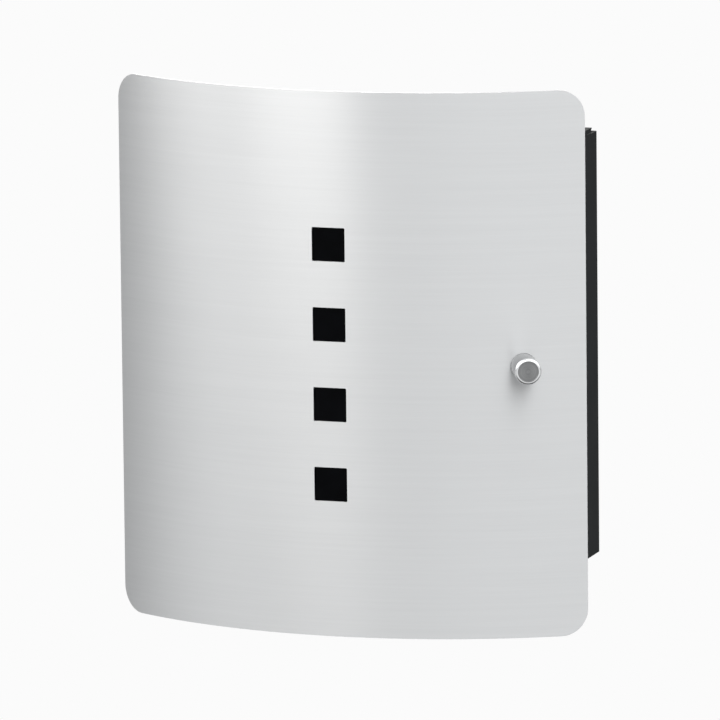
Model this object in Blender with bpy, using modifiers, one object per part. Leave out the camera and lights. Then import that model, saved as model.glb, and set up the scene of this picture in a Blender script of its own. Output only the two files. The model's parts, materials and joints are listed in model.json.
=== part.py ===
"""A wall mounted mailbox: a painted sheet steel casing, a posting flap in its top and a
curved stainless steel door with four windows. Metres, +Z up, the door faces -Y and the
wall is the plane y = 0. The origin is on the wall, behind the middle of the door."""

from math import asin, cos, pi, sin, sqrt

import bmesh
import bpy
from mathutils import Matrix

# Door
DOOR_WIDTH = 0.360
DOOR_HEIGHT = 0.405
DOOR_BULGE = 0.0545
DOOR_CORNER = 0.020
DOOR_SHEET = 0.0012
DOOR_OVERHANG = 0.012
WINDOW = 0.0252
WINDOW_PITCH = 0.0594
WINDOW_COUNT = 4

# Smoked strip behind the windows
STRIP = 0.0022
STRIP_HALF = 0.0240
STRIP_MARGIN = 0.012
RAIL_SHEET = 0.0008
RAIL_FOOT = 0.010
RAIL_LIP = 0.006
STOP_HEIGHT = 0.004

# Casing
CASING_DEPTH = 0.070
CASING_TOP = 0.161
CASING_BOTTOM = -0.154
SHEET = 0.0012
BEND = 0.0015
RIM_GAP = 0.0032
RIM_WIDTH = 0.0135
RAIL_HEIGHT = 0.012
WALL_HOLE = 0.0035
WALL_HOLE_INSET = 0.043
DRAIN_HOLE = 0.0025
DRAIN_HOLE_Y = -0.020
FLANGE_SETBACK = 0.002
DOOR_BUMPER = 0.0038
DOOR_BUMPER_INSET = 0.030

# Clearances
GAP = 0.0003
PIN_CLEARANCE = 0.0001
SWING_GAP = 0.0006
WELD_INSET = 0.0001
PLATE_DROP = 0.0004
CUT_REACH = 0.010

# Rivets and screws
RIVET = 0.0013
KNOB_SCREW = 0.002
CATCH_SCREW = 0.0015
CATCH_SCREW_LENGTH = 0.008
WASHER = 0.001
WASHER_RADIUS = 0.0055

# Door hinges
BARREL_BITE = 0.0005
HINGE_LENGTH = 0.060
HINGE_HEIGHT = 0.105
BARREL_RADIUS = 0.003
HINGE_PIN = 0.0015
LEAF = 0.0012
LEAF_REACH = 0.029
HINGE_RIVET_BACK = 0.019
HINGE_RIVET_RISE = 0.018

# Posting flap
FLAP_AXIS_Y = -0.012
FLAP_RISE = 0.004
FLAP_SIDE_INSET = 0.0005
FLAP_BARREL = 0.002
FLAP_PIN = 0.001
FLAP_LEAF = 0.0008
FLAP_HINGE_MARGIN = 0.018
FINGER_LIP = 0.008
FINGER_LIP_HALF = 0.060
SLOT_RIM = 0.0032
SLOT_BACK = -0.025
SLOT_FRONT_MARGIN = 0.008
FLAP_BUMPER = 0.0024

# Knob
KNOB_INSET = 0.041
KNOB_RADIUS = 0.0098
KNOB_LENGTH = 0.0245
KNOB_RIM = 0.0021
KNOB_SINK = 0.0005
KNOB_BORE = 0.014

# Magnetic catch
CATCH_INSET = 0.024
CATCH_Z = -0.050
CATCH_HALF = 0.017
CATCH_WIDTH = 0.013
CATCH_WALL = 0.0019
CATCH_RECESS = 0.0008
CATCH_BLOCK_DEPTH = 0.0169
CATCH_FLOOR = 0.005
CATCH_EAR = 0.010
CATCH_EAR_SHEET = 0.0025
POLE = 0.002
MAGNET = 0.0034
MAGNET_RECESS = 0.001
BRACKET_HALF = 0.030
BRACKET_REACH = 0.010
BRACKET_FOOT = 0.024
STRIKE_STANDOFF = 0.013
STRIKE_SHEET = 0.001
STRIKE_WIDTH = 0.013
STRIKE_HALF = 0.026
STRIKE_RIVET_RISE = 0.0225
STRIKE_FOOT = 0.012

# Worked out from the sizes above
CASING_WIDTH = DOOR_WIDTH - 2 * DOOR_OVERHANG
HALF_CASING = CASING_WIDTH / 2
HALF_INSIDE = HALF_CASING - SHEET - 2 * GAP
ARC_RADIUS = (DOOR_WIDTH**2 / 4 + DOOR_BULGE**2) / (2 * DOOR_BULGE)
ARC_Y = ARC_RADIUS - DOOR_BULGE - CASING_DEPTH
DOOR_HALF_ANGLE = asin(DOOR_WIDTH / 2 / ARC_RADIUS)
DOOR_ARC = 2 * DOOR_HALF_ANGLE * ARC_RADIUS
INNER_RADIUS = ARC_RADIUS - DOOR_SHEET
RIM_RADIUS = INNER_RADIUS - RIM_GAP
PLATE_RADIUS = RIM_RADIUS - SHEET - GAP
TOP_PLATE = CASING_TOP - PLATE_DROP
BOTTOM_PLATE = CASING_BOTTOM + PLATE_DROP
RIVET_HOLE = RIVET + GAP
BARREL_OFFSET = GAP + LEAF + BARREL_RADIUS - BARREL_BITE
HINGE_RADIUS = INNER_RADIUS - BARREL_OFFSET
HINGE_X = -HALF_CASING - BARREL_OFFSET
HINGE_Y = ARC_Y - sqrt(HINGE_RADIUS**2 - HINGE_X**2)
HINGE_RIVET_Y = HINGE_Y + HINGE_RIVET_BACK
FLAP_TOP = CASING_TOP + FLAP_RISE
FLAP_UNDER = FLAP_TOP - SHEET
FLAP_AXIS_Z = FLAP_TOP - FLAP_BARREL + 0.0002
FLAP_FRONT = -CASING_DEPTH
FLAP_HALF_WIDTH = HALF_CASING - FLAP_SIDE_INSET
FLAP_HINGE_HALF = HALF_CASING - FLAP_HINGE_MARGIN
FLAP_RIVETS = [FLAP_HINGE_HALF * share for share in (-0.8, -0.3, 0.3, 0.8)]
FLAP_RIVET_Y = (SLOT_BACK + FLAP_AXIS_Y) / 2 - 0.0005
SLOT_FRONT = FLAP_FRONT + SLOT_FRONT_MARGIN
KNOB_ANGLE = asin((DOOR_WIDTH / 2 - KNOB_INSET) / ARC_RADIUS)
CATCH_X = HALF_CASING - CATCH_INSET
CATCH_FACE_Y = ARC_Y - sqrt(INNER_RADIUS**2 - CATCH_X**2) + STRIKE_STANDOFF
BRACKET_Y = CATCH_FACE_Y + CATCH_RECESS + CATCH_BLOCK_DEPTH + GAP
EAR_SCREW_Z = CATCH_HALF + CATCH_EAR / 2


def clear_scene():
    for item in list(bpy.data.objects):
        bpy.data.objects.remove(item, do_unlink=True)


def new_collection(name):
    made = bpy.data.collections.new(name)
    bpy.context.scene.collection.children.link(made)
    return made


def finish(name, colour, roughness, metallic):
    made = bpy.data.materials.new(name)
    made.use_nodes = True
    shader = made.node_tree.nodes["Principled BSDF"]
    shader.inputs["Base Color"].default_value = (*colour, 1.0)
    shader.inputs["Roughness"].default_value = roughness
    shader.inputs["Metallic"].default_value = metallic
    made.diffuse_color = (*colour, 1.0)
    return made


clear_scene()
PARTS = new_collection("wall_mailbox")
CUTTERS = new_collection("cutters")
STAINLESS = finish("brushed_stainless", (0.62, 0.63, 0.64), 0.32, 1.0)
BLACK = finish("black_powder_coat", (0.025, 0.026, 0.029), 0.5, 0.0)
SATIN = finish("satin_steel", (0.36, 0.36, 0.37), 0.3, 1.0)
ZINC = finish("zinc_plate", (0.55, 0.56, 0.58), 0.35, 1.0)
SMOKED = finish("smoked_acrylic", (0.004, 0.004, 0.005), 0.2, 0.0)
RUBBER = finish("black_rubber", (0.02, 0.02, 0.02), 0.8, 0.0)
PLASTIC = finish("black_plastic", (0.03, 0.03, 0.03), 0.45, 0.0)
FERRITE = finish("ferrite", (0.04, 0.04, 0.042), 0.6, 0.0)


def axis_empty(name, at):
    """An empty on a joint's axis, the parent of everything that turns about it."""
    made = bpy.data.objects.new(name, None)
    made.location = at
    made.empty_display_size = 0.02
    PARTS.objects.link(made)
    return made


DOOR_AXIS = axis_empty("door_axis", (HINGE_X, HINGE_Y, 0.0))
FLAP_AXIS = axis_empty("flap_axis", (0.0, FLAP_AXIS_Y, FLAP_AXIS_Z))


def place(name, bm, look, at=(0.0, 0.0, 0.0), turn=(0.0, 0.0, 0.0), parent=None):
    """Make an object of a bmesh at a world position, under its parent if it has one.
    Without a look it is a cutter."""
    mesh = bpy.data.meshes.new(name)
    bm.to_mesh(mesh)
    bm.free()
    made = bpy.data.objects.new(name, mesh)
    offset = parent.location if parent else (0.0, 0.0, 0.0)
    made.location = [here - base for here, base in zip(at, offset)]
    made.rotation_euler = turn
    made.parent = parent
    if look is None:
        made.hide_render = True
        made.display_type = "WIRE"
        CUTTERS.objects.link(made)
    else:
        mesh.materials.append(look)
        PARTS.objects.link(made)
    return made


def box(name, xs, ys, zs, look=None, parent=None, turn=(0.0, 0.0, 0.0)):
    """A block between two values on each axis."""
    size = [max(pair) - min(pair) for pair in (xs, ys, zs)]
    centre = [sum(pair) / 2 for pair in (xs, ys, zs)]
    bm = bmesh.new()
    bmesh.ops.create_cube(bm, size=1.0, matrix=Matrix.Diagonal((*size, 1.0)))
    return place(name, bm, look, centre, turn, parent)


def cylinder(name, radius, length, at, turn=(0, 0, 0), look=None, parent=None, segments=24):
    bm = bmesh.new()
    bmesh.ops.create_cone(
        bm, cap_ends=True, segments=segments, radius1=radius, radius2=radius, depth=length
    )
    return place(name, bm, look, at, turn, parent)


def turned(name, profile, at, turn, look, parent=None, steps=24):
    """A solid of revolution about its own Z. The profile is (radius, height) pairs, from
    the top of the axis down the outer side to the bottom of the axis."""
    bm = bmesh.new()
    ring = [bm.verts.new((radius, 0.0, height)) for radius, height in profile]
    for first, second in zip(ring, ring[1:]):
        bm.edges.new((first, second))
    made = place(name, bm, look, at, turn, parent)
    screw = made.modifiers.new("turn", "SCREW")
    screw.steps = steps
    screw.render_steps = steps
    screw.use_merge_vertices = True
    screw.merge_threshold = 0.00001
    screw.use_smooth_shade = True
    return made


def combine(target, other, operation):
    mod = target.modifiers.new(other.name, "BOOLEAN")
    mod.operation = operation
    mod.object = other
    return target


def cut(target, other):
    return combine(target, other, "DIFFERENCE")


def join(target, other):
    return combine(target, other, "UNION")


def solidify(target, thickness):
    """Give an open sheet its thickness on the side away from its normals."""
    mod = target.modifiers.new("sheet", "SOLIDIFY")
    mod.thickness = thickness
    mod.offset = -1.0
    mod.use_even_offset = True


def arc_sheet(name, radius, angles, zs, look=None, parent=None, steps=12, thickness=SHEET):
    """Sheet rolled about the door's own centre line, its outer face at the radius."""
    bm = bmesh.new()
    bmesh.ops.create_grid(bm, x_segments=steps, y_segments=1, size=0.5)
    middle = sum(zs) / 2
    for vert in bm.verts:
        angle = angles[0] + (angles[1] - angles[0]) * (vert.co.x + 0.5)
        height = (max(zs) - min(zs)) * vert.co.y
        vert.co = (radius * sin(angle), -radius * cos(angle), height)
    made = place(name, bm, look, (0.0, ARC_Y, middle), parent=parent)
    solidify(made, thickness)
    return made


def folded_sheet(name, outline, zs, thickness, bend, look, parent=None):
    """Sheet folded along upright lines. Walking along the outline, its thickness is on
    the left hand."""
    stretches = len(outline) - 1
    bm = bmesh.new()
    bmesh.ops.create_grid(bm, x_segments=stretches, y_segments=1, size=0.5)
    for vert in bm.verts:
        x, y = outline[round((vert.co.x + 0.5) * stretches)]
        vert.co = (x, y, (max(zs) - min(zs)) * vert.co.y)
    folds = [edge for edge in bm.edges if len(edge.link_faces) == 2]
    bmesh.ops.bevel(bm, geom=folds, offset=bend, segments=3, profile=0.5, affect="EDGES")
    made = place(name, bm, look, (0.0, 0.0, sum(zs) / 2), parent=parent)
    solidify(made, thickness)
    return made


def inner_y(x, inset=GAP):
    """How far forward the door's inner face is at x, less a gap."""
    return ARC_Y - sqrt((INNER_RADIUS - inset) ** 2 - x**2)


def on_arc(radius, angle, z):
    """A point at a radius from the door's centre line."""
    return (radius * sin(angle), ARC_Y - radius * cos(angle), z)


def facing_out(angle):
    """The turn that points an object's own Z out of the door at an angle."""
    return (pi / 2, 0.0, angle)


def rivet(name, at, turn, grip, parent=None, shank=RIVET):
    """A domed rivet. Its head's seat is at the position and its shank runs down its Z."""
    head, height, tail = 2.1 * shank, 0.8 * shank, 1.7 * shank
    dome = [(head * sin(i * pi / 8), height * cos(i * pi / 8)) for i in range(5)]
    foot = [(shank, 0.0), (shank, -grip), (tail, -grip), (tail, -grip - height), (0.0, -grip - height)]
    return turned(name, dome + foot, at, turn, ZINC, parent, steps=16)


def hole(name, radius, at, turn=(0.0, 0.0, 0.0), length=CUT_REACH, parent=None, segments=16):
    return cylinder(name, radius, length, at, turn, parent=parent, segments=segments)


SIDEWAYS = (0.0, pi / 2, 0.0)
BACKWARDS = (-pi / 2, 0.0, 0.0)
FORWARDS = (pi / 2, 0.0, 0.0)
LEFTWARDS = (0.0, -pi / 2, 0.0)


# Casing


def rim_corner():
    """Where the right side wall meets the rim that runs behind the door."""
    return (HALF_CASING, ARC_Y - sqrt(RIM_RADIUS**2 - HALF_CASING**2))


def rim_end():
    inner = HALF_CASING - RIM_WIDTH
    return (inner, ARC_Y - sqrt(RIM_RADIUS**2 - inner**2))


def mirrored(outline):
    """The same outline on the other side of x = 0, walked back so it keeps its hand."""
    return [(-x, y) for x, y in reversed(outline)]


def casing_shell():
    right = [rim_end(), rim_corner(), (HALF_CASING, 0.0)]
    zs = (CASING_BOTTOM, CASING_TOP)
    shell = folded_sheet("casing_shell", right + mirrored(right), zs, SHEET, BEND, BLACK)
    across = HALF_CASING - WALL_HOLE_INSET
    for z in (CASING_TOP - WALL_HOLE_INSET, CASING_BOTTOM + WALL_HOLE_INSET):
        for x in (-across, across):
            cut(shell, hole("wall_hole", WALL_HOLE, (x, 0.0, z), FORWARDS))
    for height in (HINGE_HEIGHT, -HINGE_HEIGHT):
        for step in (-1, 1):
            at = (-HALF_CASING, HINGE_RIVET_Y, height + step * HINGE_RIVET_RISE)
            cut(shell, hole("hinge_rivet_hole", RIVET_HOLE, at, SIDEWAYS))
    return shell


def end_plate(name, top, inward):
    """A flat top or bottom whose front edge follows the door, with a rim turned inward."""
    faces = (top, top + inward * SHEET)
    ys = (-CASING_DEPTH - DOOR_BULGE, -SHEET - GAP)
    plate = box(name, (-HALF_INSIDE, HALF_INSIDE), ys, faces, BLACK)
    curve = PLATE_RADIUS - SHEET / 3
    middle = sum(faces) / 2
    at = (0.0, ARC_Y, middle)
    round_front = cylinder(f"{name}_curve", curve, 2 * CUT_REACH, at, segments=180)
    combine(plate, round_front, "INTERSECT")
    reach = asin((HALF_INSIDE - GAP) / PLATE_RADIUS)
    rail_zs = (top, top + inward * RAIL_HEIGHT)
    rail = arc_sheet(f"{name}_rail", PLATE_RADIUS, (-reach, reach), rail_zs, steps=44)
    return join(plate, rail)


def casing_top():
    plate = end_plate("casing_top", TOP_PLATE, -1)
    for side in (-1, 1):
        xs = (side * (HALF_INSIDE - SHEET), side * (HALF_INSIDE - WELD_INSET))
        zs = (TOP_PLATE - RAIL_HEIGHT, TOP_PLATE - SHEET / 2)
        join(plate, box("side_flange", xs, (FLAP_FRONT + FLANGE_SETBACK, -FLANGE_SETBACK), zs))
    zs = (TOP_PLATE - CUT_REACH, TOP_PLATE + CUT_REACH)
    half = HALF_INSIDE - SLOT_RIM
    slot = box("posting_slot", (-half, half), (SLOT_FRONT, SLOT_BACK), zs)
    cut(plate, slot)
    for x in FLAP_RIVETS:
        cut(plate, hole("leaf_rivet_hole", RIVET_HOLE, (x, FLAP_RIVET_Y, TOP_PLATE)))
    return plate


def casing_bottom():
    plate = end_plate("casing_bottom", BOTTOM_PLATE, 1)
    for share in (-0.7, -0.25, 0.25, 0.7):
        cut(plate, hole("drain_hole", DRAIN_HOLE, (share * HALF_INSIDE, DRAIN_HOLE_Y, CASING_BOTTOM)))
    return plate


def door_bumper(name, z):
    """A rubber stop on the rim, which the closed door rests against."""
    angle = asin((HALF_CASING - RIM_WIDTH / 2) / RIM_RADIUS)
    height = RIM_GAP - 2 * GAP
    profile = [(0.0, height), (0.6 * DOOR_BUMPER, 0.92 * height), (DOOR_BUMPER, 0.5 * height)]
    profile += [(DOOR_BUMPER, 0.0), (0.0, 0.0)]
    turned(name, profile, on_arc(RIM_RADIUS + GAP, angle, z), facing_out(angle), RUBBER, steps=16)


casing_shell()
casing_top()
casing_bottom()
door_bumper("door_bumper_upper", CASING_TOP - DOOR_BUMPER_INSET)
door_bumper("door_bumper_lower", CASING_BOTTOM + DOOR_BUMPER_INSET)


# Posting flap and its hinge


def knuckle_spans():
    """Where the flap's hinge barrel changes between the casing's leaf and the flap."""
    length = 2 * FLAP_HINGE_HALF / 5
    for index in range(5):
        start = -FLAP_HINGE_HALF + index * length
        yield index % 2 == 1, (start + GAP, start + length - GAP)


def flap_knuckles(target, on_flap, tab_zs, parent=None):
    for moving, xs in knuckle_spans():
        if moving != on_flap:
            continue
        at = (sum(xs) / 2, FLAP_AXIS_Y, FLAP_AXIS_Z)
        length = xs[1] - xs[0]
        barrel = cylinder(f"{target.name}_knuckle", FLAP_BARREL, length, at, SIDEWAYS, parent=parent)
        ys = (FLAP_AXIS_Y - FLAP_BARREL - 2 * GAP, FLAP_AXIS_Y)
        join(target, box(f"{target.name}_tab", xs, ys, tab_zs, parent=parent))
        join(target, barrel)
    at = (0.0, FLAP_AXIS_Y, FLAP_AXIS_Z)
    name = f"{target.name}_bore"
    bore = cylinder(name, FLAP_PIN + PIN_CLEARANCE, CASING_WIDTH, at, SIDEWAYS, parent=parent)
    cut(target, bore)


def flap_leaf():
    base = TOP_PLATE + GAP
    zs = (base, base + FLAP_LEAF)
    front = FLAP_AXIS_Y - FLAP_BARREL - GAP
    xs = (-FLAP_HINGE_HALF, FLAP_HINGE_HALF)
    leaf = box("flap_hinge_leaf", xs, (SLOT_BACK + SHEET, front), zs, ZINC)
    flap_knuckles(leaf, False, (zs[0] + WELD_INSET, zs[1] - WELD_INSET))
    for x in FLAP_RIVETS:
        cut(leaf, hole("flap_leaf_hole", RIVET_HOLE, (x, FLAP_RIVET_Y, base)))


def flap_rivets():
    seat = TOP_PLATE + GAP + FLAP_LEAF + GAP
    grip = SHEET + FLAP_LEAF + 3 * GAP
    for index, x in enumerate(FLAP_RIVETS):
        rivet(f"flap_rivet_{index + 1}", (x, FLAP_RIVET_Y, seat), (0.0, 0.0, 0.0), grip)


def posting_flap():
    width = FLAP_HALF_WIDTH
    plate_zs = (FLAP_UNDER, FLAP_TOP)
    ear_back = FLAP_AXIS_Y + GAP
    plate = box("posting_flap", (-width, width), (FLAP_FRONT, ear_back), plate_zs, BLACK, FLAP_AXIS)
    notch_half = FLAP_HINGE_HALF + SWING_GAP
    notch_ys = (FLAP_AXIS_Y - FLAP_BARREL - SWING_GAP, FLAP_AXIS_Y + CUT_REACH)
    notch_zs = (FLAP_UNDER - SHEET, FLAP_TOP + SHEET)
    cut(plate, box("flap_notch", (-notch_half, notch_half), notch_ys, notch_zs, parent=FLAP_AXIS))
    skirt_foot = CASING_TOP + SWING_GAP
    skirt_zs = (skirt_foot, FLAP_TOP - SHEET / 2)
    skirt_ys = (FLAP_FRONT + WELD_INSET, ear_back - WELD_INSET)
    for side in (-1, 1):
        skirt_xs = (side * (width - SHEET), side * (width - WELD_INSET))
        join(plate, box("flap_skirt", skirt_xs, skirt_ys, skirt_zs, parent=FLAP_AXIS))
    lip_xs = (SHEET / 2 - width, width - SHEET / 2)
    lip_ys = (FLAP_FRONT + 2 * WELD_INSET, FLAP_FRONT + SHEET)
    lip_zs = (skirt_foot + WELD_INSET, FLAP_TOP - SHEET / 2)
    join(plate, box("flap_lip", lip_xs, lip_ys, lip_zs, parent=FLAP_AXIS))
    lift_ys = (FLAP_FRONT + WELD_INSET, FLAP_FRONT + SHEET)
    lift_zs = (FLAP_TOP - SHEET / 2, FLAP_TOP + FINGER_LIP)
    join(plate, box("finger_lip", (-FINGER_LIP_HALF, FINGER_LIP_HALF), lift_ys, lift_zs, parent=FLAP_AXIS))
    tab_zs = (FLAP_UNDER + WELD_INSET, FLAP_TOP - WELD_INSET)
    flap_knuckles(plate, True, tab_zs, FLAP_AXIS)


def flap_bumper(name, x):
    foot = TOP_PLATE + GAP
    height = FLAP_UNDER - GAP - foot
    profile = [(0.0, height), (0.75 * FLAP_BUMPER, height), (FLAP_BUMPER, 0.7 * height)]
    profile += [(FLAP_BUMPER, 0.0), (0.0, 0.0)]
    y = (FLAP_FRONT + SHEET + SLOT_FRONT) / 2
    turned(name, profile, (x, y, foot), (0.0, 0.0, 0.0), RUBBER, steps=16)


flap_leaf()
flap_rivets()
posting_flap()
at_flap_axis = (0.0, FLAP_AXIS_Y, FLAP_AXIS_Z)
cylinder("flap_hinge_pin", FLAP_PIN, 2 * FLAP_HINGE_HALF, at_flap_axis, SIDEWAYS, ZINC, segments=16)
flap_bumper("flap_bumper_left", -FLAP_HINGE_HALF)
flap_bumper("flap_bumper_right", FLAP_HINGE_HALF)


# Door


def door_panel():
    """The flat blank is cut first and then rolled, so its edges stay square to it."""
    bm = bmesh.new()
    bmesh.ops.create_grid(bm, x_segments=72, y_segments=1, size=0.5)
    for vert in bm.verts:
        vert.co = (vert.co.x * DOOR_ARC, 0.0, vert.co.y * DOOR_HEIGHT)
    blank = place("door_blank", bm, None)
    solidify(blank, DOOR_SHEET)
    tools = [rounded_frame()]
    combine(blank, tools[0], "INTERSECT")
    half = WINDOW / 2
    for z in window_heights():
        tools.append(box("window_tool", (-half, half), (-CUT_REACH, CUT_REACH), (z - half, z + half)))
    at = (KNOB_ANGLE * ARC_RADIUS, 0.0, 0.0)
    tools.append(hole("knob_hole", KNOB_SCREW + 2 * GAP, at, FORWARDS, 2 * CUT_REACH))
    for tool in tools[1:]:
        cut(blank, tool)
    scene_now = bpy.context.evaluated_depsgraph_get()
    mesh = bpy.data.meshes.new_from_object(blank.evaluated_get(scene_now))
    for old in (blank, *tools):
        bpy.data.objects.remove(old, do_unlink=True)
    bm = bmesh.new()
    bm.from_mesh(mesh)
    bpy.data.meshes.remove(mesh)
    for vert in bm.verts:
        angle = vert.co.x / ARC_RADIUS
        radius = ARC_RADIUS - vert.co.y
        vert.co = (radius * sin(angle), -radius * cos(angle), vert.co.z)
    place("door_panel", bm, STAINLESS, (0.0, ARC_Y, 0.0), parent=DOOR_AXIS)


def rounded_frame():
    """A block with the outline of the flat door blank, its four corners rounded."""
    bm = bmesh.new()
    margin = WELD_INSET / 5
    size = Matrix.Diagonal((DOOR_ARC + margin, 2 * CUT_REACH, DOOR_HEIGHT + margin, 1.0))
    bmesh.ops.create_cube(bm, size=1.0, matrix=size)
    corners = [edge for edge in bm.edges if abs(edge.verts[0].co.y - edge.verts[1].co.y) > CUT_REACH]
    bmesh.ops.bevel(bm, geom=corners, offset=DOOR_CORNER, segments=12, profile=0.5, affect="EDGES")
    return place("door_outline", bm, None)


def window_heights():
    top = WINDOW_PITCH * (WINDOW_COUNT - 1) / 2
    return [top - index * WINDOW_PITCH for index in range(WINDOW_COUNT)]


def window_strip():
    """One smoked strip behind all the windows, held by a rail on each side."""
    half = asin(STRIP_HALF / INNER_RADIUS)
    top = window_heights()[0] + WINDOW / 2 + STRIP_MARGIN
    zs = (-top, top)
    radius = INNER_RADIUS - 2 * GAP
    arc_sheet("window_strip", radius, (-half, half), zs, SMOKED, DOOR_AXIS, 8, STRIP)
    foot, riser, lip = STRIP_HALF + RAIL_FOOT, STRIP_HALF + RAIL_SHEET, STRIP_HALF - RAIL_LIP
    depth = GAP + STRIP + 3 * GAP
    right = [(lip, inner_y(lip, depth)), (riser, inner_y(riser, depth))]
    right += [(riser, inner_y(riser)), (foot, inner_y(foot))]
    folded_sheet("window_rail_right", right, zs, RAIL_SHEET, RAIL_SHEET, STAINLESS, DOOR_AXIS)
    folded_sheet("window_rail_left", mirrored(right), zs, RAIL_SHEET, RAIL_SHEET, STAINLESS, DOOR_AXIS)
    stop_zs = (-top - GAP - STOP_HEIGHT, -top - GAP)
    stop_radius = INNER_RADIUS - GAP
    arc_sheet("window_stop", stop_radius, (-half, half), stop_zs, STAINLESS, DOOR_AXIS, 8, STRIP)


def knob():
    """A plain pull with a rounded rim round a slightly sunken face."""
    rim = [
        (KNOB_RADIUS - KNOB_RIM * (1 - sin(i * pi / 12)), KNOB_LENGTH - KNOB_RIM * (1 - cos(i * pi / 12)))
        for i in range(7)
    ]
    face = KNOB_LENGTH - KNOB_SINK
    inner = KNOB_RADIUS - KNOB_RIM - WELD_INSET
    bore = KNOB_SCREW + PIN_CLEARANCE
    profile = [(0.0, face), (inner, face)] + rim
    profile += [(KNOB_RADIUS, 0.0), (bore, 0.0), (bore, KNOB_BORE), (0.0, KNOB_BORE)]
    at = on_arc(ARC_RADIUS + GAP, KNOB_ANGLE, 0.0)
    turned("knob", profile, at, facing_out(KNOB_ANGLE), SATIN, DOOR_AXIS, steps=40)
    washer = INNER_RADIUS - GAP - WASHER
    ring = [(bore, WASHER), (WASHER_RADIUS, WASHER), (WASHER_RADIUS, 0.0)]
    ring += [(bore, 0.0), (bore, WASHER)]
    at = on_arc(washer, KNOB_ANGLE, 0.0)
    turned("knob_washer", ring, at, facing_out(KNOB_ANGLE), ZINC, DOOR_AXIS, steps=20)
    seat = on_arc(washer - GAP, KNOB_ANGLE, 0.0)
    inward = (-pi / 2, 0.0, KNOB_ANGLE)
    length = KNOB_BORE + DOOR_SHEET + WASHER + 2 * GAP
    pan_screw("knob_screw", seat, inward, KNOB_SCREW, length, DOOR_AXIS)


def pan_screw(name, seat, turn, shank, length, parent=None):
    """A pan head screw. Its head sits at the position and its shank runs down its Z."""
    head, height = 1.9 * shank, 1.1 * shank
    dome = [(head * sin(i * pi / 8), height * cos(i * pi / 8)) for i in range(5)]
    shaft = [(shank, 0.0), (shank, -length + shank / 2), (shank / 2, -length), (0.0, -length)]
    turned(name, dome + shaft, seat, turn, ZINC, parent, steps=16)


door_panel()
window_strip()
knob()


# Door hinges


def door_hinge(label, middle):
    """Two leaves on one pin: one riveted outside the casing, one welded in the door."""
    third = HINGE_LENGTH / 6
    zs = (middle - HINGE_LENGTH / 2, middle + HINGE_LENGTH / 2)
    outside = -HALF_CASING - GAP
    leaf_ys = (HINGE_Y, HINGE_RIVET_Y + HINGE_RIVET_BACK / 2)
    leaf = box(f"casing_leaf_{label}", (outside - LEAF, outside), leaf_ys, zs, ZINC)
    notch_xs = (outside - 2 * LEAF, outside + LEAF)
    notch_ys = (HINGE_Y - BARREL_RADIUS, HINGE_Y + BARREL_RADIUS + SWING_GAP)
    cut(leaf, box("leaf_notch", notch_xs, notch_ys, (middle - third, middle + third)))
    for step in (-1, 1):
        at = (HINGE_X, HINGE_Y, middle + step * 2 * third)
        join(leaf, cylinder("casing_knuckle", BARREL_RADIUS, 2 * third, at))
    centre = (HINGE_X, HINGE_Y, middle)
    bore = HINGE_PIN + PIN_CLEARANCE
    cut(leaf, cylinder("casing_bore", bore, 2 * HINGE_LENGTH, centre))
    for step in (-1, 1):
        at = (-HALF_CASING, HINGE_RIVET_Y, middle + step * HINGE_RIVET_RISE)
        cut(leaf, hole("leaf_hole", RIVET_HOLE, at, SIDEWAYS))
        seat = (outside - LEAF - GAP, at[1], at[2])
        grip = LEAF + SHEET + 3 * GAP
        rivet(f"hinge_rivet_{label}_{'upper' if step > 0 else 'lower'}", seat, LEFTWARDS, grip)

    radius = INNER_RADIUS - GAP
    angles = (asin(HINGE_X / HINGE_RADIUS), asin((HINGE_X + LEAF_REACH) / radius))
    moving = arc_sheet(f"door_leaf_{label}", radius, angles, zs, ZINC, DOOR_AXIS, 6, LEAF)
    inner = third - GAP
    clear_xs = (HINGE_X - CUT_REACH, HINGE_X + BARREL_RADIUS + SWING_GAP)
    clear_ys = (HINGE_Y - CUT_REACH, HINGE_Y + CUT_REACH)
    for step in (-1, 1):
        clear_zs = (middle + step * inner, middle + step * HINGE_LENGTH)
        cut(moving, box("door_leaf_notch", clear_xs, clear_ys, clear_zs, parent=DOOR_AXIS))
    join(moving, cylinder("door_knuckle", BARREL_RADIUS, 2 * inner, centre, parent=DOOR_AXIS))
    cut(moving, cylinder("door_bore", bore, 2 * HINGE_LENGTH, centre, parent=DOOR_AXIS))

    top = (HINGE_X, HINGE_Y, zs[1] + GAP)
    rivet(f"hinge_pin_{label}", top, (0.0, 0.0, 0.0), HINGE_LENGTH + 2 * GAP, shank=HINGE_PIN)


door_hinge("upper", HINGE_HEIGHT)
door_hinge("lower", -HINGE_HEIGHT)


# Magnetic catch


def catch_bracket():
    wall = HALF_CASING - SHEET - GAP
    outline = [(CATCH_X - BRACKET_REACH, BRACKET_Y), (wall, BRACKET_Y)]
    outline += [(wall, BRACKET_Y + BRACKET_FOOT)]
    zs = (CATCH_Z - BRACKET_HALF, CATCH_Z + BRACKET_HALF)
    bracket = folded_sheet("catch_bracket", outline, zs, SHEET, BEND, BLACK)
    for step in (-1, 1):
        at = (CATCH_X, BRACKET_Y, CATCH_Z + step * EAR_SCREW_Z)
        cut(bracket, hole("bracket_hole", CATCH_SCREW + GAP, at, FORWARDS))


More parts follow.
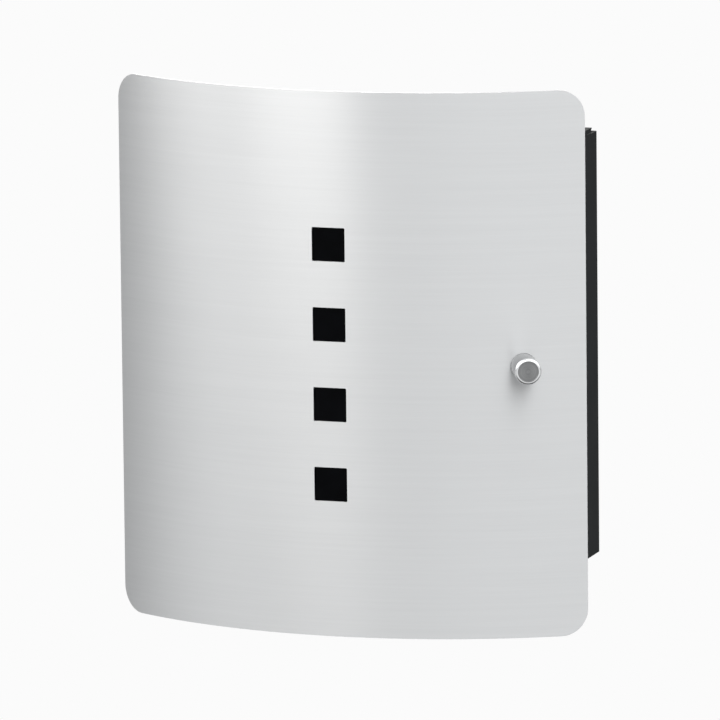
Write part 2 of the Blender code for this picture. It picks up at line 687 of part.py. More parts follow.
def catch_block():
    """A plastic housing with a magnet between two steel pole plates."""
    back = BRACKET_Y - GAP
    front = CATCH_FACE_Y + CATCH_RECESS
    low, high = CATCH_Z - CATCH_HALF, CATCH_Z + CATCH_HALF
    xs = (CATCH_X - CATCH_WIDTH / 2, CATCH_X + CATCH_WIDTH / 2)
    housing = box("catch_housing", xs, (front, back), (low, high), PLASTIC)
    ear_ys = (back - CATCH_EAR_SHEET, back)
    ears = box("catch_ears", xs, ear_ys, (low - CATCH_EAR, high + CATCH_EAR))
    join(housing, ears)
    floor = back - CATCH_FLOOR
    pocket_xs = (xs[0] + CATCH_WALL, xs[1] - CATCH_WALL)
    pocket_zs = (low + 2 * CATCH_WALL, high - 2 * CATCH_WALL)
    cut(housing, box("catch_pocket", pocket_xs, (front - CUT_REACH, floor), pocket_zs))
    zs = (pocket_zs[0] + GAP, pocket_zs[1] - GAP)
    for side, name in ((-1, "pole_plate_left"), (1, "pole_plate_right")):
        near = CATCH_X + side * (MAGNET / 2 + GAP)
        pole_xs = (near, near + side * POLE)
        box(name, pole_xs, (CATCH_FACE_Y, floor - GAP), zs, ZINC)
    magnet_xs = (CATCH_X - MAGNET / 2, CATCH_X + MAGNET / 2)
    magnet_ys = (CATCH_FACE_Y + MAGNET_RECESS, floor - GAP)
    box("catch_magnet", magnet_xs, magnet_ys, zs, FERRITE)
    for step, name in ((1, "catch_screw_upper"), (-1, "catch_screw_lower")):
        z = CATCH_Z + step * EAR_SCREW_Z
        cut(housing, hole("ear_hole", CATCH_SCREW + GAP, (CATCH_X, back, z), FORWARDS))
        seat = (CATCH_X, back - CATCH_EAR_SHEET - GAP, z)
        pan_screw(name, seat, FORWARDS, CATCH_SCREW, CATCH_SCREW_LENGTH)


def strike():
    """A steel plate on a folded bracket inside the door, where it meets the magnet."""
    back = CATCH_FACE_Y - GAP
    front = back - SHEET
    pad = front - GAP - STRIKE_SHEET
    start = CATCH_X - STRIKE_WIDTH / 2
    knee = start - 0.4 * STRIKE_FOOT
    foot = knee - STRIKE_FOOT
    outline = [(foot, inner_y(foot)), (knee, inner_y(knee))]
    outline += [(start, pad), (start + STRIKE_WIDTH + 2 * STRIKE_SHEET, pad)]
    zs = (CATCH_Z - STRIKE_HALF, CATCH_Z + STRIKE_HALF)
    bracket = folded_sheet("strike_bracket", outline, zs, STRIKE_SHEET, BEND, STAINLESS, DOOR_AXIS)
    xs = (start + STRIKE_SHEET, start + STRIKE_SHEET + STRIKE_WIDTH)
    plate = box("strike_plate", xs, (front, back), zs, ZINC, DOOR_AXIS)
    grip = SHEET + STRIKE_SHEET + 3 * GAP
    for step, name in ((1, "strike_rivet_upper"), (-1, "strike_rivet_lower")):
        at = (sum(xs) / 2, CATCH_FACE_Y, CATCH_Z + step * STRIKE_RIVET_RISE)
        for sheet in (bracket, plate):
            cut(sheet, hole("strike_hole", RIVET_HOLE, at, FORWARDS, parent=DOOR_AXIS))
        rivet(name, at, BACKWARDS, grip, parent=DOOR_AXIS)


catch_bracket()
catch_block()
strike()
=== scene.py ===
"""Looks for the wall mounted mailbox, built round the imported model. Metres, +Z up, door to -Y."""

import json
from math import asin, cos, pi, radians, sin

import bmesh
import bpy
from mathutils import Matrix, Vector


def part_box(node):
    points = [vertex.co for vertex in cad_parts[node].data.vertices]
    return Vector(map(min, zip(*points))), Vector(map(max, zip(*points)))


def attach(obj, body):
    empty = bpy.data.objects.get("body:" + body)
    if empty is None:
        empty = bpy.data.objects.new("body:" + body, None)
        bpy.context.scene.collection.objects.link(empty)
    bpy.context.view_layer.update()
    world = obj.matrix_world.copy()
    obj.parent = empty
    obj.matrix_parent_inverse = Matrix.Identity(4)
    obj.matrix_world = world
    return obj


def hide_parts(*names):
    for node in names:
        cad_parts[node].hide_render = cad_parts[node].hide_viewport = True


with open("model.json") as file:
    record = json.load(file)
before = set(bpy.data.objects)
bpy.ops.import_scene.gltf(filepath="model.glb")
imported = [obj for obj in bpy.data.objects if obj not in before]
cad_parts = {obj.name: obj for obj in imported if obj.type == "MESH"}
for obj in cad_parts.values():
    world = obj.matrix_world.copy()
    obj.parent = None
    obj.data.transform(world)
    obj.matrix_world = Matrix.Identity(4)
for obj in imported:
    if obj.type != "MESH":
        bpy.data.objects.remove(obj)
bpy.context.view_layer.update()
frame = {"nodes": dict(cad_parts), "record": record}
NODES = frame["nodes"]

# Camera
VIEW_AZIMUTH = radians(18.18)
VIEW_ELEVATION = radians(10.09)
VIEW_ROLL = radians(-0.60)
VIEW_DISTANCE = 7.866
VIEW_LENS = 534.2
SENSOR = 36.0
AIM_RIGHT = 0.0055
AIM_UP = -0.0057

# The door's own shape, read from its node
PANEL_LOW, PANEL_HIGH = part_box("door_panel")
DOOR_WIDTH = PANEL_HIGH.x - PANEL_LOW.x
DOOR_HEIGHT = PANEL_HIGH.z - PANEL_LOW.z
DOOR_SHEET = 0.0012
CHORD_Y = -0.070
DOOR_BULGE = CHORD_Y - PANEL_LOW.y
ARC_RADIUS = (DOOR_WIDTH**2 / 4 + DOOR_BULGE**2) / (2 * DOOR_BULGE)
ARC_Y = PANEL_LOW.y + ARC_RADIUS
DOOR_ARC = 2 * asin(DOOR_WIDTH / 2 / ARC_RADIUS) * ARC_RADIUS
DOOR_CORNER = 0.020
WINDOW = 0.0252
WINDOW_PITCH = 0.0594
WINDOW_COUNT = 4
WINDOW_CORNER = 0.0009
WINDOW_TOP = WINDOW_PITCH * (WINDOW_COUNT - 1) / 2
WINDOW_MIDDLES = [WINDOW_TOP - index * WINDOW_PITCH for index in range(WINDOW_COUNT)]
GRID_ACROSS = 0.0032
GRID_UP = 0.0200
CUTTER_DEPTH = 0.02
EDGE_RADIUS = 0.0003
SHARP = radians(50)

# Edges of the nodes that keep their mesh, and the reach within which two points are one
NODE_EDGE = 0.00025
SAME_PLACE = 0.000002
ON_THE_LINE = 0.00001

# The knob's own shape, read from its node
KNOB_LOW, KNOB_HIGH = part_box("knob")
KNOB_RADIUS = (KNOB_HIGH.z - KNOB_LOW.z) / 2
KNOB_INSET = 0.041
KNOB_X = DOOR_WIDTH / 2 - KNOB_INSET
KNOB_ANGLE = asin(KNOB_X / ARC_RADIUS)
KNOB_LENGTH = 0.0245
KNOB_RIM = 0.0021
KNOB_FOOT = 0.0004
KNOB_EDGE = 0.0002
KNOB_SINK = 0.0005
TURNING_MARKS = 14
TURNING_DEPTH = 0.00004
TURNING_REACH = 0.94
KNOB_HOLE = 0.0026
KNOB_SCREW = 0.002
KNOB_BORE = 0.014
WASHER = 0.001
GAP = 0.0003
MARGIN = 0.005

# Rivets and screws, as shares of the shank's radius
RIVET_HEAD = 2.1
RIVET_RISE = 0.8
RIVET_TAIL = 1.7
SCREW_HEAD = 1.9
SCREW_RISE = 1.1
DOME_STEPS = 12

# Brightness of the studio walls by azimuth in degrees, 0 straight in front of the door
SURROUND = (
    (-180, 0.16),
    (-125, 0.40),
    (-88, 0.52),
    (-78, 0.71),
    (-66, 0.86),
    (-55, 0.87),
    (-33, 0.81),
    (-15, 0.85),
    (5, 0.95),
    (20, 1.00),
    (70, 1.00),
    (110, 0.80),
    (145, 0.16),
    (180, 0.16),
)

# Share of the full wall brightness by height of the direction, 0 level and 1 straight up
RISE = ((0.0, 0.24), (0.5, 1.0), (0.72, 1.0), (0.95, 0.30))
WALL_STRENGTH = 2.65

# The floor: its glow has painted shade under the object and is as bright as the walls further out, by
# distance
FLOOR_HEIGHT = -1.4
FLOOR_SIZE = 30.0
FLOOR_PALE = 0.965
FLOOR_SHADE = (0.6, 3.5)
FLOOR_STRENGTH = 0.8

# Soft lamps, two high on the left and one behind, by azimuth in degrees and power in watts
LAMPS = (("key", -31, 2.0), ("side", -73, 1.2), ("rim", 205, 3.0))
LAMP_REACH = 0.68
LAMP_HEIGHT = 0.62
LAMP_WIDTH = 0.46
LAMP_DEPTH = 0.30
LAMP_COLOUR = (1.0, 0.98, 0.95)


# Camera


def view_axes():
    """The camera's right, up and backward directions."""
    a, e, r = VIEW_AZIMUTH, VIEW_ELEVATION, VIEW_ROLL
    back = Vector((sin(a) * cos(e), -cos(a) * cos(e), sin(e)))
    right = Vector((cos(a), sin(a), 0.0))
    up = back.cross(right)
    turned_right = right * cos(r) + up * sin(r)
    turned_up = up * cos(r) - right * sin(r)
    return turned_right, turned_up, back


def make_camera():
    right, up, back = view_axes()
    data = bpy.data.cameras.new("camera")
    data.lens = VIEW_LENS
    data.sensor_width = SENSOR
    data.clip_start = 0.1
    data.clip_end = 100.0
    camera = bpy.data.objects.new("camera", data)
    aim = Vector((0.0, CHORD_Y, 0.0)) + right * AIM_RIGHT + up * AIM_UP
    place = aim + back * VIEW_DISTANCE
    rows = Matrix((right, up, back)).transposed().to_4x4()
    camera.matrix_world = Matrix.Translation(place) @ rows
    bpy.context.scene.collection.objects.link(camera)
    bpy.context.scene.camera = camera


make_camera()


# Materials


class Graph:
    """A node tree under construction."""

    def __init__(self, owner):
        owner.use_nodes = True
        self.tree = owner.node_tree

    def node(self, kind, **values):
        made = self.tree.nodes.new(kind)
        for key, value in values.items():
            setattr(made, key, value)
        return made

    def link(self, source, target):
        self.tree.links.new(source, target)

    def place(self, scale):
        """Object coordinates stretched by a scale on each axis."""
        where = self.node("ShaderNodeTexCoord")
        stretch = self.node("ShaderNodeMapping")
        stretch.inputs["Scale"].default_value = scale
        self.link(where.outputs["Object"], stretch.inputs["Vector"])
        return stretch.outputs["Vector"]

    def noise(self, vector, scale, detail=2.0, roughness=0.5, distortion=0.0):
        made = self.node("ShaderNodeTexNoise")
        made.inputs["Scale"].default_value = scale
        made.inputs["Detail"].default_value = detail
        made.inputs["Roughness"].default_value = roughness
        made.inputs["Distortion"].default_value = distortion
        self.link(vector, made.inputs["Vector"])
        return made.outputs["Fac"]

    def spread(self, value, low, high, start=0.3, end=0.7):
        """A texture value moved to a range between two numbers."""
        made = self.node("ShaderNodeMapRange")
        made.inputs["From Min"].default_value = start
        made.inputs["From Max"].default_value = end
        made.inputs["To Min"].default_value = low
        made.inputs["To Max"].default_value = high
        self.link(value, made.inputs["Value"])
        return made.outputs["Result"]

    def ramp(self, value, stops):
        made = self.node("ShaderNodeValToRGB")
        ramp = made.color_ramp
        while len(ramp.elements) < len(stops):
            ramp.elements.new(0.5)
        for element, (where, colour) in zip(ramp.elements, stops):
            element.position = where
            element.color = (*colour, 1.0)
        self.link(value, made.inputs["Fac"])
        return made.outputs["Color"]

    def blend(self, factor, first, second):
        """A colour between two colours."""
        made = self.node("ShaderNodeMix", data_type="RGBA")
        sockets = [socket for socket in made.inputs if socket.type == "RGBA"]
        self.link(factor, made.inputs["Factor"])
        for socket, value in zip(sockets, (first, second)):
            if isinstance(value, tuple):
                socket.default_value = value
            else:
                self.link(value, socket)
        return next(socket for socket in made.outputs if socket.type == "RGBA")

    def math(self, operation, first, second):
        made = self.node("ShaderNodeMath", operation=operation)
        for socket, value in zip(made.inputs, (first, second)):
            if isinstance(value, (int, float)):
                socket.default_value = value
            else:
                self.link(value, socket)
        return made.outputs["Value"]


class Look(Graph):
    """A material under construction: its nodes, its links and its shader."""

    def __init__(self, name):
        self.material = bpy.data.materials.new(name)
        super().__init__(self.material)
        self.shader = self.tree.nodes["Principled BSDF"]

    def set(self, **values):
        for key, value in values.items():
            self.shader.inputs[key.replace("_", " ")].default_value = value

    def bump(self, height, strength, distance):
        made = self.node("ShaderNodeBump")
        made.inputs["Strength"].default_value = strength
        made.inputs["Distance"].default_value = distance
        self.link(height, made.inputs["Height"])
        self.link(made.outputs["Normal"], self.shader.inputs["Normal"])


def upright_tangent(look):
    """Brushed across, so that reflections are drawn out up and down."""
    along = look.node("ShaderNodeCombineXYZ")
    along.inputs["Z"].default_value = 1.0
    look.link(along.outputs["Vector"], look.shader.inputs["Tangent"])


def brushed_stainless():
    look = Look("brushed_stainless")
    look.set(Metallic=1.0, Anisotropic=0.88)
    upright_tangent(look)
    fine = look.noise(look.place((28.0, 28.0, 2600.0)), 1.0, 3.0, 0.6)
    broad = look.noise(look.place((6.0, 6.0, 420.0)), 1.0, 2.0, 0.5)
    cloud = look.noise(look.place((1.0, 1.0, 1.0)), 9.0, 3.0, 0.5)
    strokes = look.math("MULTIPLY", look.math("ADD", fine, broad), 0.4)
    grain = look.math("ADD", strokes, look.math("MULTIPLY", cloud, 0.2))
    colour = look.ramp(grain, [(0.3, (0.668, 0.672, 0.676)), (0.7, (0.708, 0.712, 0.716))])
    look.link(colour, look.shader.inputs["Base Color"])
    look.link(look.spread(grain, 0.40, 0.44), look.shader.inputs["Roughness"])
    look.bump(fine, 0.08, 0.00002)
    return look.material


def powder_coat():
    look = Look("black_powder_coat")
    look.set(Specular_IOR_Level=0.22)
    grain = look.noise(look.place((1.0, 1.0, 1.0)), 1400.0, 2.0, 0.6)
    broad = look.noise(look.place((1.0, 1.0, 1.0)), 25.0, 3.0, 0.5)
    colour = look.ramp(broad, [(0.3, (0.010, 0.0115, 0.0125)), (0.7, (0.014, 0.0155, 0.0165))])
    look.link(colour, look.shader.inputs["Base Color"])
    look.link(look.spread(grain, 0.42, 0.52), look.shader.inputs["Roughness"])
    look.bump(grain, 0.25, 0.00008)
    return look.material


def zinc_plate():
    look = Look("zinc_plate")
    look.set(Metallic=1.0)
    mottle = look.noise(look.place((1.0, 1.0, 1.0)), 260.0, 4.0, 0.6)
    colour = look.ramp(mottle, [(0.3, (0.50, 0.52, 0.55)), (0.7, (0.64, 0.66, 0.69))])
    look.link(colour, look.shader.inputs["Base Color"])
    look.link(look.spread(mottle, 0.26, 0.42), look.shader.inputs["Roughness"])
    return look.material


def smoked_acrylic():
    look = Look("smoked_acrylic")
    look.set(IOR=1.49, Specular_IOR_Level=0.04)
    haze = look.noise(look.place((1.0, 1.0, 1.0)), 60.0, 3.0, 0.5)
    colour = look.ramp(haze, [(0.3, (0.0008, 0.0009, 0.0012)), (0.7, (0.0016, 0.0018, 0.0024))])
    look.link(colour, look.shader.inputs["Base Color"])
    look.link(look.spread(haze, 0.10, 0.16), look.shader.inputs["Roughness"])
    return look.material


def black_rubber():
    look = Look("black_rubber")
    grain = look.noise(look.place((1.0, 1.0, 1.0)), 1800.0, 2.0, 0.6)
    colour = look.ramp(grain, [(0.3, (0.016, 0.016, 0.016)), (0.7, (0.026, 0.026, 0.026))])
    look.link(colour, look.shader.inputs["Base Color"])
    look.link(look.spread(grain, 0.7, 0.85), look.shader.inputs["Roughness"])
    look.bump(grain, 0.3, 0.0001)
    return look.material


def black_plastic():
    look = Look("black_plastic")
    grain = look.noise(look.place((1.0, 1.0, 1.0)), 900.0, 2.0, 0.6)
    colour = look.ramp(grain, [(0.3, (0.020, 0.020, 0.021)), (0.7, (0.030, 0.030, 0.031))])
    look.link(colour, look.shader.inputs["Base Color"])
    look.link(look.spread(grain, 0.38, 0.5), look.shader.inputs["Roughness"])
    look.bump(grain, 0.3, 0.0001)
    return look.material


def ferrite():
    look = Look("ferrite")
    grain = look.noise(look.place((1.0, 1.0, 1.0)), 1200.0, 4.0, 0.7)
    colour = look.ramp(grain, [(0.3, (0.030, 0.030, 0.032)), (0.7, (0.055, 0.055, 0.058))])
    look.link(colour, look.shader.inputs["Base Color"])
    look.link(look.spread(grain, 0.5, 0.7), look.shader.inputs["Roughness"])
    look.bump(grain, 0.4, 0.0001)
    return look.material


def turned_steel():
    """The knob: turned round its own axis, which is the object's Z, with a painted highlight on the rim and
    painted shade on the body and face.
    """
    look = Look("turned_steel")
    look.set(Metallic=1.0, Anisotropic=0.6)
    around = look.node("ShaderNodeTangent", direction_type="RADIAL", axis="Z")
    look.link(around.outputs["Tangent"], look.shader.inputs["Tangent"])
    where = look.node("ShaderNodeTexCoord")
    split = look.node("ShaderNodeSeparateXYZ")
    look.link(where.outputs["Object"], split.inputs["Vector"])
    squares = [look.math("MULTIPLY", split.outputs[way], split.outputs[way]) for way in "XY"]
    radius = look.math("SQRT", look.math("ADD", *squares), 0.0)
    across = look.node("ShaderNodeCombineXYZ")
    look.link(radius, across.inputs["X"])
    look.link(split.outputs["Z"], across.inputs["Y"])
    rings = look.noise(across.outputs["Vector"], 2600.0, 2.0, 0.6)
    # One steel painted in three tones: the rim lighter as a painted highlight, and the body and the sunken
    # face darker as painted shade. The face's extra roughness is real.
    rim_painted_highlight = look.ramp(rings, [(0.3, (0.84, 0.845, 0.85)), (0.7, (0.92, 0.925, 0.93))])
    body_painted_shade = look.ramp(rings, [(0.3, (0.23, 0.233, 0.236)), (0.7, (0.29, 0.293, 0.296))])
    face_painted_shade = look.ramp(rings, [(0.3, (0.23, 0.232, 0.234)), (0.7, (0.30, 0.302, 0.304))])
    near = look.math("LESS_THAN", radius, KNOB_RADIUS - KNOB_RIM)
    front = look.math("GREATER_THAN", split.outputs["Z"], KNOB_LENGTH / 2)
    face = look.math("MULTIPLY", near, front)
    body = look.math("LESS_THAN", split.outputs["Z"], KNOB_LENGTH - 0.8 * KNOB_RIM)
    painted_rim_and_body = look.blend(body, rim_painted_highlight, body_painted_shade)
    look.link(look.blend(face, painted_rim_and_body, face_painted_shade), look.shader.inputs["Base Color"])
    fine = look.spread(rings, 0.10, 0.16)
    look.link(look.math("ADD", fine, look.math("MULTIPLY", face, 0.22)), look.shader.inputs["Roughness"])
    look.bump(rings, 0.2, 0.00003)
    return look.material


MATERIALS = {
    "brushed_stainless": brushed_stainless(),
    "black_powder_coat": powder_coat(),
    "zinc_plate": zinc_plate(),
    "smoked_acrylic": smoked_acrylic(),
    "black_rubber": black_rubber(),
    "black_plastic": black_plastic(),
    "ferrite": ferrite(),
    "satin_steel": turned_steel(),
}


# Nodes that keep their mesh: finer edges and a real material


def dress(node, slot, width):
    """A node keeps its mesh. Its faces are joined, its edges broken and its curves shaded smooth."""
    piece = NODES[node]
    piece.data.materials.clear()
    piece.data.materials.append(MATERIALS[slot])
    piece.data.shade_smooth()
    join = piece.modifiers.new("join", "WELD")
    join.merge_threshold = SAME_PLACE
    flats = piece.modifiers.new("flats", "DECIMATE")
    flats.decimate_type = "DISSOLVE"
    flats.angle_limit = radians(0.5)
    edge = piece.modifiers.new("edge", "BEVEL")
    edge.width = width
    edge.segments = 2
    edge.limit_method = "ANGLE"
    edge.angle_limit = SHARP
    piece.modifiers.new("shading", "WEIGHTED_NORMAL")


def dress_nodes():
    for entry in frame["record"]["subparts"]:
        node = entry["node"]
        low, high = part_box(node)
        thin = min(high - low)
        dress(node, entry["material_slot"], min(NODE_EDGE, thin / 6))


# Pieces that stand for CAD nodes


def finish_piece(name, bm, slot, body, node, smooth_angle=35):
    """A made mesh that rides on a body and stands for a node."""
    mesh = bpy.data.meshes.new(name)
    bm.to_mesh(mesh)
    bm.free()
    mesh.shade_smooth()
    mesh.set_sharp_from_angle(angle=radians(smooth_angle))
    mesh.materials.append(MATERIALS[slot])
    piece = bpy.data.objects.new(name, mesh)
    bpy.context.scene.collection.objects.link(piece)
    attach(piece, body)
    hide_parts(node)
    return piece


def evaluated_mesh(target):
    graph = bpy.context.evaluated_depsgraph_get()
    return bpy.data.meshes.new_from_object(target.evaluated_get(graph))


def temporary(name, bm):
    mesh = bpy.data.meshes.new(name)
    bm.to_mesh(mesh)
    bm.free()
    made = bpy.data.objects.new(name, mesh)
    bpy.context.scene.collection.objects.link(made)
    return made


def rounded_outline():
    """A block through the flat door with the door's outline."""
    bm = bmesh.new()
    size = Matrix.Diagonal((DOOR_ARC, CUTTER_DEPTH, DOOR_HEIGHT, 1.0))
    bmesh.ops.create_cube(bm, size=1.0, matrix=size)
    through = [edge for edge in bm.edges if abs(edge.verts[0].co.y - edge.verts[1].co.y) > CUTTER_DEPTH / 2]
    bmesh.ops.bevel(bm, geom=through, offset=DOOR_CORNER, segments=24, profile=0.5, affect="EDGES")
    return temporary("outline", bm)


def knob_hole():
    bm = bmesh.new()
    turn = Matrix.Translation((KNOB_ANGLE * ARC_RADIUS, 0.0, 0.0)) @ Matrix.Rotation(pi / 2, 4, "X")
    sizes = {"radius1": KNOB_HOLE, "radius2": KNOB_HOLE, "depth": CUTTER_DEPTH}
    bmesh.ops.create_cone(bm, cap_ends=True, segments=32, matrix=turn, **sizes)
    return temporary("knob_hole", bm)


def stations(edges, reach, step):
    """Grid lines: the given edges, filled in evenly, out to both ends."""
    marks = sorted({-reach, reach, *edges})
    lines = []
    for start, end in zip(marks, marks[1:]):
        count = max(1, round((end - start) / step))
        lines += [start + (end - start) * i / count for i in range(count)]
    return lines + [reach]


def in_window(x, z):
    return abs(x) < WINDOW / 2 and any(abs(z - middle) < WINDOW / 2 for middle in WINDOW_MIDDLES)


def flat_door():
    """A flat grid of the door sheet with the windows left out."""
    edges = [middle + side * WINDOW / 2 for middle in WINDOW_MIDDLES for side in (-1, 1)]
    xs = stations((-WINDOW / 2, WINDOW / 2), DOOR_ARC / 2 + MARGIN, GRID_ACROSS)
    zs = stations(edges, DOOR_HEIGHT / 2 + MARGIN, GRID_UP)
    bm = bmesh.new()
    rows = [[bm.verts.new((x, 0.0, z)) for x in xs] for z in zs]
    for low, high in zip(rows, rows[1:]):
        for i in range(len(xs) - 1):
            quad = (low[i], low[i + 1], high[i + 1], high[i])
            middle = sum((vert.co for vert in quad), Vector()) / 4
            if not in_window(middle.x, middle.z):
                bm.faces.new(quad)
    loose = [vert for vert in bm.verts if not vert.link_faces]
    bmesh.ops.delete(bm, geom=loose, context="VERTS")
    return temporary("flat_door", bm)


def finished_mesh(target, extras=()):
    """The finished mesh of a temporary object as a bmesh. The object and its tools are removed."""
    mesh = evaluated_mesh(target)
    for extra in (target, *extras):
        bpy.data.objects.remove(extra, do_unlink=True)
    bm = bmesh.new()
    bm.from_mesh(mesh)
    bpy.data.meshes.remove(mesh)
    bmesh.ops.dissolve_degenerate(bm, dist=SAME_PLACE, edges=bm.edges)
    return bm


def window_corner(edge):
    """True for an edge through the sheet at the corner of a window."""
    first, second = (vert.co for vert in edge.verts)
    if abs(first.y - second.y) < DOOR_SHEET / 2:
        return False
    rises = [abs(abs(first.z - middle) - WINDOW / 2) for middle in WINDOW_MIDDLES]
    return abs(abs(first.x) - WINDOW / 2) < ON_THE_LINE and min(rises) < ON_THE_LINE


def door_panel():
    """The sheet is cut flat, its edges are broken, and then it is rolled."""
    blank = flat_door()
    sheet = blank.modifiers.new("sheet", "SOLIDIFY")
    sheet.thickness = DOOR_SHEET
    sheet.offset = -1.0
    tools = [("INTERSECT", rounded_outline()), ("DIFFERENCE", knob_hole())]
    for operation, tool in tools:
        mod = blank.modifiers.new(tool.name, "BOOLEAN")
        mod.operation = operation
        mod.object = tool
    bm = finished_mesh(blank, [tool for _, tool in tools])
    corners = [edge for edge in bm.edges if window_corner(edge)]
    bmesh.ops.bevel(bm, geom=corners, offset=WINDOW_CORNER, segments=4, profile=0.5, affect="EDGES")
    cut_sheet = temporary("cut_sheet", bm)
    edge = cut_sheet.modifiers.new("edge", "BEVEL")
    edge.width = EDGE_RADIUS
    edge.segments = 3
    edge.limit_method = "ANGLE"
    edge.angle_limit = SHARP
    bm = finished_mesh(cut_sheet)
    for vert in bm.verts:
        angle = vert.co.x / ARC_RADIUS
        radius = ARC_RADIUS - vert.co.y
        vert.co = (radius * sin(angle), ARC_Y - radius * cos(angle), vert.co.z)
    piece = finish_piece("door_sheet", bm, "brushed_stainless", "door", "door_panel", 60)
    piece.modifiers.new("shading", "WEIGHTED_NORMAL")


def lathe(profile, steps=96):
    """A closed turned body round Z from (radius, height) points that start and end on the axis."""
    bm = bmesh.new()
    rings = []
    for radius, height in profile:
        if radius == 0.0:
            rings.append([bm.verts.new((0.0, 0.0, height))])
            continue
        rings.append([
            bm.verts.new((radius * cos(2 * pi * i / steps), radius * sin(2 * pi * i / steps), height))
            for i in range(steps)
        ])
    for lower, upper in zip(rings, rings[1:]):
        for i in range(steps):
            j = (i + 1) % steps
            low = [lower[k % len(lower)] for k in (i, j)]
            high = [upper[k % len(upper)] for k in (j, i)]
            bm.faces.new(list(dict.fromkeys(low + high)))
    bmesh.ops.recalc_face_normals(bm, faces=bm.faces)
    return bm


def rounded(centre, radius, start, end, steps=6):
    """Points of a small arc in a profile, angles in degrees from the radius axis."""
    angles = [radians(start + (end - start) * i / steps) for i in range(steps + 1)]
    return [(centre[0] + radius * cos(a), centre[1] + radius * sin(a)) for a in angles]


def knob():
    """A turned pull: broken edges, a rounded rim and a sunken face with fine turning marks."""
    inner = KNOB_RADIUS - KNOB_RIM
    floor = KNOB_LENGTH - KNOB_SINK
    steps = 2 * TURNING_MARKS
    grooves = [floor - (TURNING_DEPTH if i % 2 else 0.0) for i in range(1, steps)]
    face = [(inner * TURNING_REACH * i / steps, height) for i, height in enumerate(grooves, 1)]
    profile = [(0.0, floor)] + face + [(inner - 2 * KNOB_EDGE, floor)]
    profile += rounded((inner - 2 * KNOB_EDGE, floor + KNOB_EDGE), KNOB_EDGE, -90, 0, 3)[1:]
    profile += rounded((inner, KNOB_LENGTH - KNOB_EDGE), KNOB_EDGE, 180, 90, 3)
    bend = KNOB_RIM - KNOB_EDGE
    profile += rounded((KNOB_RADIUS - bend, KNOB_LENGTH - bend), bend, 90, 0, 12)
    profile += rounded((KNOB_RADIUS - KNOB_FOOT, KNOB_FOOT), KNOB_FOOT, 0, -90, 4)
    profile += [(0.0, 0.0)]
    piece = finish_piece("knob_turned", lathe(profile), "satin_steel", "door", "knob", 30)
    seat = ARC_RADIUS + GAP
    piece.location = (seat * sin(KNOB_ANGLE), ARC_Y - seat * cos(KNOB_ANGLE), 0.0)
    piece.rotation_euler = (pi / 2, 0.0, KNOB_ANGLE)


def dome(radius, height):
    """Profile points of a domed head, from its top on the axis to its rim."""
    angles = [i * pi / 2 / DOME_STEPS for i in range(DOME_STEPS + 1)]
    return [(radius * sin(angle), height * cos(angle)) for angle in angles]


def rivet_profile(shank, grip):
    """The proportions of every rivet and pin: a domed head, a shank and a flat formed tail."""
    height, tail = RIVET_RISE * shank, RIVET_TAIL * shank
    edge = 0.12 * shank
    end = -grip - height
    foot = [(shank, 0.0), (shank, -grip), (tail, -grip)]
    tail_edge = rounded((tail - edge, end + edge), edge, 0, -90, 3)
    return dome(RIVET_HEAD * shank, height) + foot + tail_edge + [(0.0, end)]


def fine_rivet(node, body, head_way):
    """A finely turned rivet in the place of a node whose head points along an axis."""
    low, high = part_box(node)
    along = Vector(head_way)
    length = abs((high - low).dot(along))
    across = max(abs(value) for value, way in zip(high - low, along) if way == 0.0)
    shank = across / 2 / RIVET_HEAD
    grip = length - 2 * RIVET_RISE * shank
    seat = (low + high) / 2 + along * (length / 2 - RIVET_RISE * shank)
    piece = finish_piece(f"{node}_fine", lathe(rivet_profile(shank, grip), 32), "zinc_plate", body, node)
    piece.location = seat
    piece.rotation_euler = along.to_track_quat("Z", "Y").to_euler()


def rivets():
    for label in ("upper", "lower"):
        fine_rivet(f"hinge_pin_{label}", "casing", (0.0, 0.0, 1.0))
        for place in ("upper", "lower"):
            fine_rivet(f"hinge_rivet_{label}_{place}", "casing", (-1.0, 0.0, 0.0))
        fine_rivet(f"strike_rivet_{label}", "door", (0.0, 1.0, 0.0))
    for index in range(4):
        fine_rivet(f"flap_rivet_{index + 1}", "casing", (0.0, 0.0, 1.0))


def screw(node, body, seat, head_way, shank, length):
    """A pan head screw with a cross recess and a rolled thread."""
    head, height = SCREW_HEAD * shank, SCREW_RISE * shank
    pitch = 0.35 * shank
    root = 0.86 * shank
    turns = int((length - shank) / pitch)
    thread = [(shank if i % 2 else root, -shank / 4 - pitch * i / 2) for i in range(2 * turns)]
    tip = [(shank / 2, -length), (0.0, -length)]
    outline = dome(head, height) + [(shank, 0.0)] + thread + tip
    blank = temporary("screw_blank", lathe(outline, 32))
    tools = []
    for angle in (pi / 4, -pi / 4):
        bm = bmesh.new()
        size = Matrix.Diagonal((1.3 * head, 0.26 * head, 1.2 * height, 1.0))
        place = Matrix.Translation((0.0, 0.0, height)) @ Matrix.Rotation(angle, 4, "Z")
        bmesh.ops.create_cube(bm, size=1.0, matrix=place @ size)
        tools.append(temporary("recess", bm))
        mod = blank.modifiers.new("recess", "BOOLEAN")
        mod.operation = "DIFFERENCE"
        mod.object = tools[-1]
    bm = finished_mesh(blank, tools)
    piece = finish_piece(f"{node}_fine", bm, "zinc_plate", body, node)
    piece.location = seat
    piece.rotation_euler = Vector(head_way).to_track_quat("Z", "Y").to_euler()


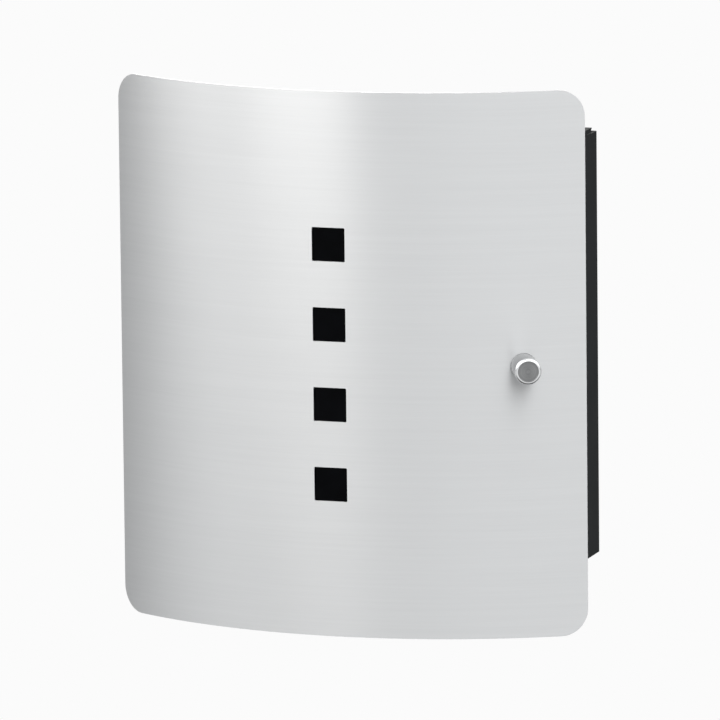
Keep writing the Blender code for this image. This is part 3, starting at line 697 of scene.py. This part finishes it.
def screws():
    for label in ("upper", "lower"):
        low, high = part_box(f"catch_screw_{label}")
        shank = (high.z - low.z) / 2 / SCREW_HEAD
        seat = Vector(((low.x + high.x) / 2, low.y + SCREW_RISE * shank, (low.z + high.z) / 2))
        screw(f"catch_screw_{label}", "casing", seat, (0.0, -1.0, 0.0), shank, high.y - seat.y)
    outward = Vector((sin(KNOB_ANGLE), -cos(KNOB_ANGLE), 0.0))
    radius = ARC_RADIUS - DOOR_SHEET - 2 * GAP - WASHER
    seat = Vector((0.0, ARC_Y, 0.0)) + outward * radius
    length = KNOB_BORE + DOOR_SHEET + WASHER + 2 * GAP
    screw("knob_screw", "door", seat, -outward, KNOB_SCREW, length)


dress_nodes()
door_panel()
knob()
rivets()
screws()


# Stage and light


def surround(graph, vector):
    """The brightness of the studio in a direction from the object."""
    split = graph.node("ShaderNodeSeparateXYZ")
    graph.link(vector, split.inputs["Vector"])
    front = graph.math("MULTIPLY", split.outputs["Y"], -1.0)
    azimuth = graph.math("ARCTAN2", split.outputs["X"], front)
    turn = graph.spread(azimuth, 0.0, 1.0, -pi, pi)
    stops = [((angle + 180) / 360, (0.985 * value, 0.995 * value, value)) for angle, value in SURROUND]
    return graph.ramp(turn, stops)


def stage():
    """A plain pale floor. What it throws on the object is darker to the left and behind, with painted shade
    under the object.
    """
    bm = bmesh.new()
    bmesh.ops.create_grid(bm, x_segments=1, y_segments=1, size=FLOOR_SIZE)
    mesh = bpy.data.meshes.new("floor")
    bm.to_mesh(mesh)
    bm.free()
    floor = bpy.data.objects.new("floor", mesh)
    floor.location = (0.0, 0.0, FLOOR_HEIGHT)
    bpy.context.scene.collection.objects.link(floor)
    look = Look("floor")
    look.set(Base_Color=(0.0, 0.0, 0.0, 1.0), Specular_IOR_Level=0.0)
    where = look.node("ShaderNodeTexCoord")
    distance = look.node("ShaderNodeVectorMath", operation="LENGTH")
    look.link(where.outputs["Object"], distance.inputs[0])
    # Painted shade: the floor's glow is dark near the object, where shade falls under it.
    painted_floor_shade = look.spread(distance.outputs["Value"], 0.0, 1.0, *FLOOR_SHADE)
    lit = look.blend(painted_floor_shade, (0.06, 0.06, 0.06, 1.0), surround(look, where.outputs["Object"]))
    ray = look.node("ShaderNodeLightPath")
    pale = look.blend(ray.outputs["Is Camera Ray"], lit, (1.0, 1.0, 1.0, 1.0))
    look.link(pale, look.shader.inputs["Emission Color"])
    strength = look.spread(ray.outputs["Is Camera Ray"], FLOOR_STRENGTH, FLOOR_PALE, 0.0, 1.0)
    look.link(strength, look.shader.inputs["Emission Strength"])
    mesh.materials.append(look.material)


def soft_light(name, at, toward, width, height, power):
    data = bpy.data.lights.new(name, "AREA")
    data.shape = "RECTANGLE"
    data.size = width
    data.size_y = height
    data.energy = power
    data.color = LAMP_COLOUR
    light = bpy.data.objects.new(name, data)
    light.location = at
    direction = Vector(toward) - Vector(at)
    light.rotation_euler = direction.to_track_quat("-Z", "Y").to_euler()
    bpy.context.scene.collection.objects.link(light)


def studio():
    """Pale walls all round, darker to the left and behind, and the soft lamps."""
    world = bpy.data.worlds.new("studio")
    bpy.context.scene.world = world
    sky = Graph(world)
    back = sky.tree.nodes["Background"]
    where = sky.node("ShaderNodeTexCoord")
    sky.link(surround(sky, where.outputs["Generated"]), back.inputs["Color"])
    split = sky.node("ShaderNodeSeparateXYZ")
    sky.link(where.outputs["Generated"], split.inputs["Vector"])
    stops = [(height, (value, value, value)) for height, value in RISE]
    height = sky.ramp(split.outputs["Z"], stops)
    sky.link(sky.math("MULTIPLY", height, WALL_STRENGTH), back.inputs["Strength"])
    for name, azimuth, power in LAMPS:
        a = radians(azimuth)
        at = (LAMP_REACH * sin(a), PANEL_LOW.y - LAMP_REACH * cos(a), LAMP_HEIGHT)
        soft_light(name, at, (0.0, PANEL_LOW.y, DOOR_HEIGHT / 4), LAMP_WIDTH, LAMP_DEPTH, power)
    view = bpy.context.scene.view_settings
    view.view_transform = "Standard"
    view.look = "None"


stage()
studio()


def corners(box):
    return [list(corner) for corner in box]
